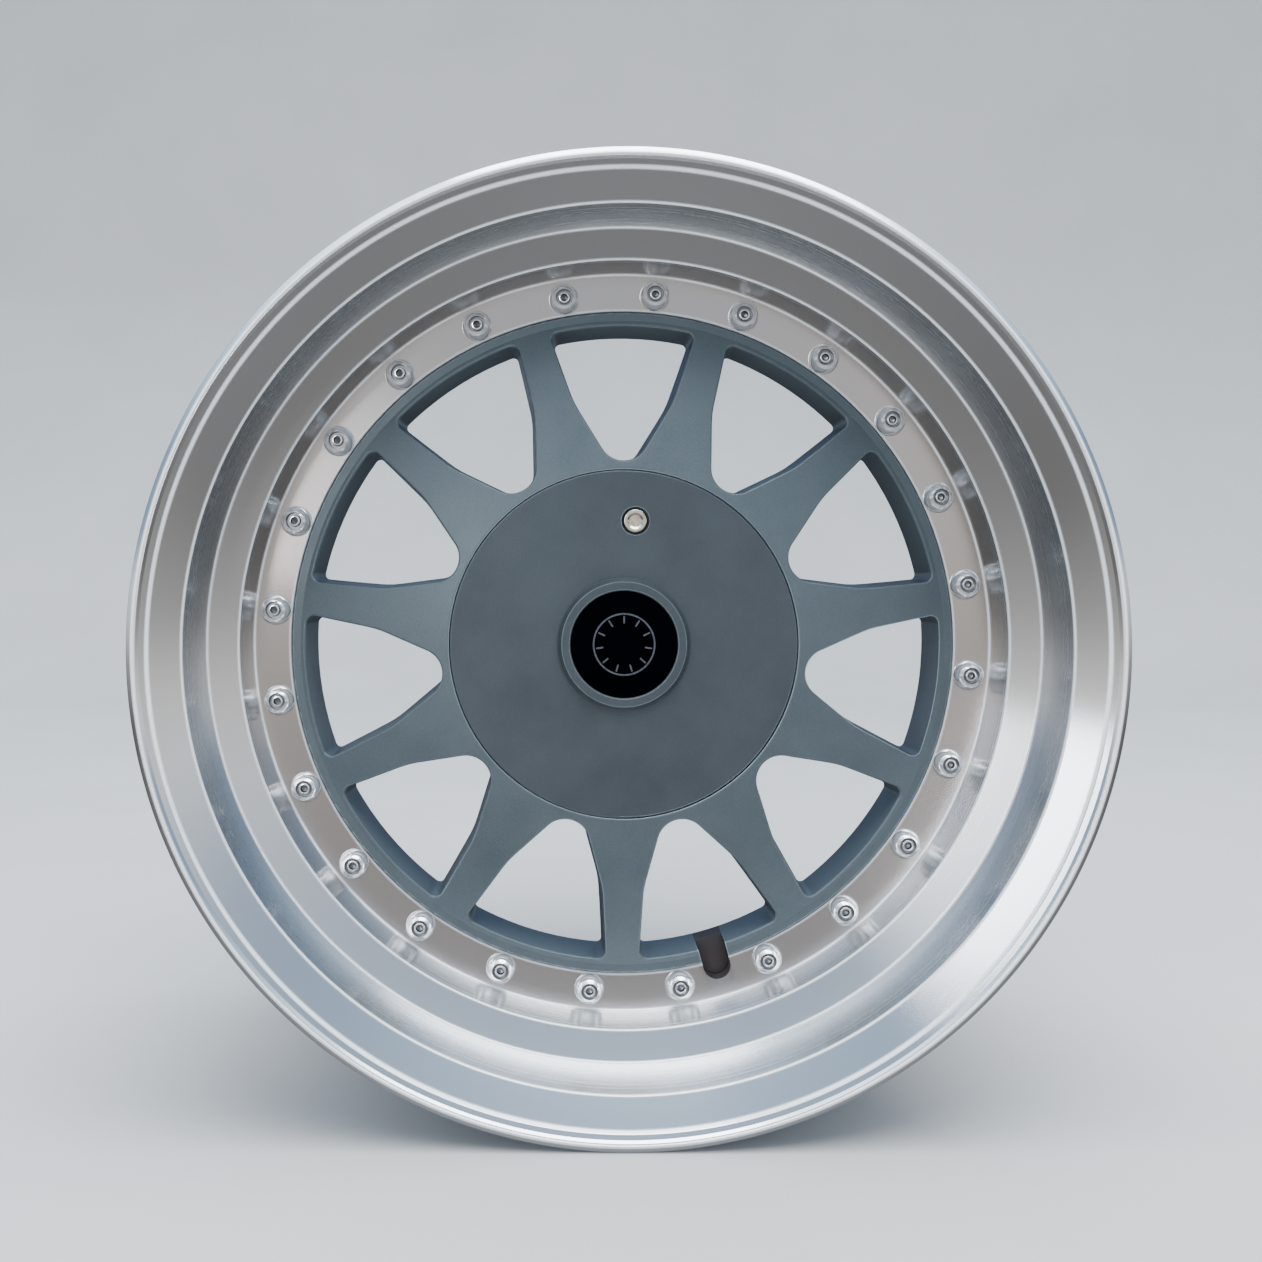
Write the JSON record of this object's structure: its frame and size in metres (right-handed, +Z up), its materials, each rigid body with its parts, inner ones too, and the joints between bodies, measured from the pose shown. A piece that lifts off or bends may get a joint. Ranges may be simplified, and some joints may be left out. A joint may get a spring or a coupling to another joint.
{
  "type": "modular wheel rim",
  "caption": "Deep-dish modular road and racing wheel: stepped turned lip, ring of domed rim bolts, spoked grey centre and a removable hub cover.",
  "frame": {"origin": "centre of the hub bore in the plane of the mounting face, the face that sits against the vehicle's hub", "axes": "+Y along the wheel's axis towards the vehicle, so the street side faces -Y; +Z up with the valve below; +X to the right seen from the street side"},
  "size_m": [0.4146, 0.2276, 0.4146],
  "materials": {
    "lathe_turned_aluminium": "diamond turned, fine concentric lines",
    "gunmetal_paint": "satin lacquer over grey metallic",
    "dark_barrel_paint": "satin",
    "bolt_chrome": "polished",
    "zinc_steel": "zinc plated",
    "sealant_black": "matt, hand-smoothed",
    "charcoal_paint": "satin",
    "screw_steel": "polished stainless",
    "retainer_nylon": "natural nylon",
    "insert_brass": "machined",
    "cap_plastic": "painted to match the centre",
    "badge_gloss": "gloss",
    "emblem_print": "printed"
  },
  "bodies": {
    "wheel": {"outer_rim_half": "lathe_turned_aluminium", "inner_rim_half": "dark_barrel_paint", "wheel_centre": "gunmetal_paint", "rim_bolts": "bolt_chrome", "nut_washers": "zinc_steel", "rim_nuts": "zinc_steel", "seam_sealant": "sealant_black", "thread_insert": "insert_brass", "cover_dowels": "zinc_steel"},
    "cover": {"hub_cover": "charcoal_paint", "screw_retainer": "retainer_nylon"},
    "screw": {"cover_screw": "screw_steel"},
    "cap": {"centre_cap": "cap_plastic", "cap_spring_ring": "zinc_steel", "cap_badge": "badge_gloss", "cap_emblem": "emblem_print"}
  },
  "joints": [
    {"name": "cover_lift", "type": "slide", "parent": "wheel", "child": "cover", "axis": [0, -1, 0], "range_m": [0, 0.08]},
    {"name": "cover_screw_turn", "type": "hinge", "parent": "cover", "child": "screw", "pos_m": [0.00521, -0.0404, 0.05515], "axis": [0, -1, 0], "continuous": true},
    {"name": "cap_pull", "type": "slide", "parent": "cover", "child": "cap", "axis": [0, -1, 0], "range_m": [0, 0.03]}
  ]
}
